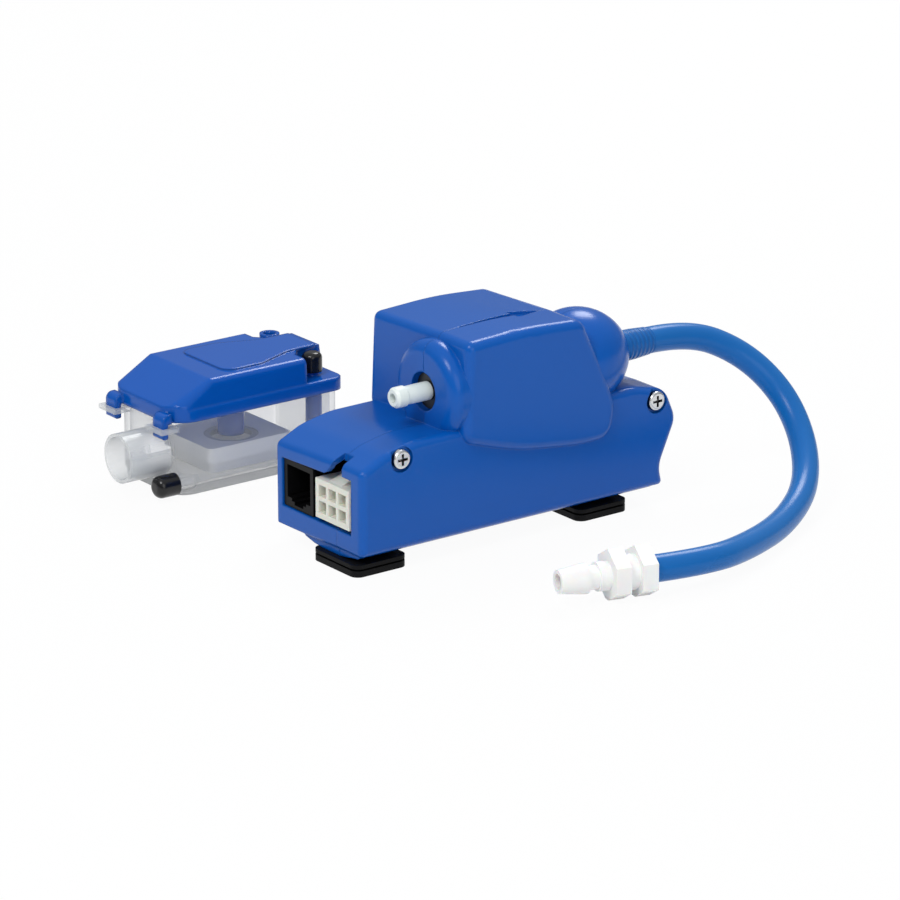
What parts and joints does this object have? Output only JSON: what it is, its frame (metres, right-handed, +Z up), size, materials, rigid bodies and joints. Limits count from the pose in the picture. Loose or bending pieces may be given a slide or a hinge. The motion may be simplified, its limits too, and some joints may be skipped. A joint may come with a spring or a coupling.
{
  "type": "condensate pump",
  "caption": "Small solenoid condensate pump in a moulded casing on rubber feet, with an outlet hose ending in a barbed connector, beside its clear float tank with a clip-on lid",
  "frame": {"origin": "on the floor, under the middle of the plan box of the pump and its tank, the free hose and its connector left out", "axes": "+X runs along the pump from its connector end to its outlet, +Y runs from the pump's cover side towards the tank, +Z is up"},
  "size_m": [0.1495, 0.1653, 0.0566],
  "materials": {
    "casing": "satin moulded blue plastic",
    "lid_blue": "glossy moulded blue plastic",
    "clear": "clear moulded plastic",
    "hose": "soft translucent blue hose",
    "white_plastic": "off-white moulded plastic",
    "nylon": "milky nylon",
    "black_plastic": "black moulded plastic",
    "rubber": "black rubber",
    "zinc": "bright zinc-plated steel",
    "steel": "plain steel",
    "brass": "brass",
    "copper": "enamelled copper wire",
    "magnet": "dark ferrite",
    "board": "green board"
  },
  "bodies": {
    "pump": {"casing_screw_front": "zinc", "casing_screw_rear": "zinc", "circuit_board": "board", "coil_bobbin": "nylon", "coil_winding": "copper", "foot_front": "rubber", "foot_rear": "rubber", "front_spring": "steel", "header_pins": "brass", "hose_connector": "white_plastic", "hose_cuff": "hose", "inlet_barb": "nylon", "jack_contacts": "brass", "jack_socket": "black_plastic", "outlet_barb": "nylon", "outlet_hose": "hose", "outlet_seat": "nylon", "power_header": "white_plastic", "pump_case": "casing", "pump_cover": "casing", "pump_tube": "brass", "rear_spring": "steel", "solenoid_yoke": "steel", "valve_spring": "steel"},
    "plunger_body": {"plunger": "steel"},
    "outlet_valve_body": {"outlet_valve": "rubber"},
    "tank_body": {"tank": "clear"},
    "lid_body": {"lid": "lid_blue"},
    "float_body": {"float": "white_plastic", "float_magnet": "magnet"},
    "drain_cap_body": {"drain_cap": "rubber"},
    "spigot_cap_body": {"spigot_cap": "rubber"}
  },
  "joints": [
    {"name": "plunger_stroke", "type": "slide", "parent": "pump", "child": "plunger_body", "axis": [1, 0, 0], "range_m": [-0.003, 0.003], "stiffness_N_per_m": 400, "deforming": ["front_spring", "rear_spring"]},
    {"name": "outlet_valve_lift", "type": "slide", "parent": "pump", "child": "outlet_valve_body", "axis": [1, 0, 0], "range_m": [0, 0.001], "stiffness_N_per_m": 50, "springref_m": -0.0005, "deforming": ["valve_spring"]},
    {"name": "tank_lift", "type": "slide", "parent": "pump", "child": "tank_body", "axis": [0, 0, 1], "range_m": [0, 0.12]},
    {"name": "lid_lift", "type": "slide", "parent": "tank_body", "child": "lid_body", "axis": [0, 0, 1], "range_m": [0, 0.05]},
    {"name": "float_rise", "type": "slide", "parent": "tank_body", "child": "float_body", "axis": [0, 0, 1], "range_m": [0, 0.009]},
    {"name": "drain_cap_pull", "type": "slide", "parent": "tank_body", "child": "drain_cap_body", "axis": [-1, 0, 0], "range_m": [0, 0.015]},
    {"name": "spigot_cap_pull", "type": "slide", "parent": "lid_body", "child": "spigot_cap_body", "axis": [0, 0, 1], "range_m": [0, 0.015]}
  ]
}
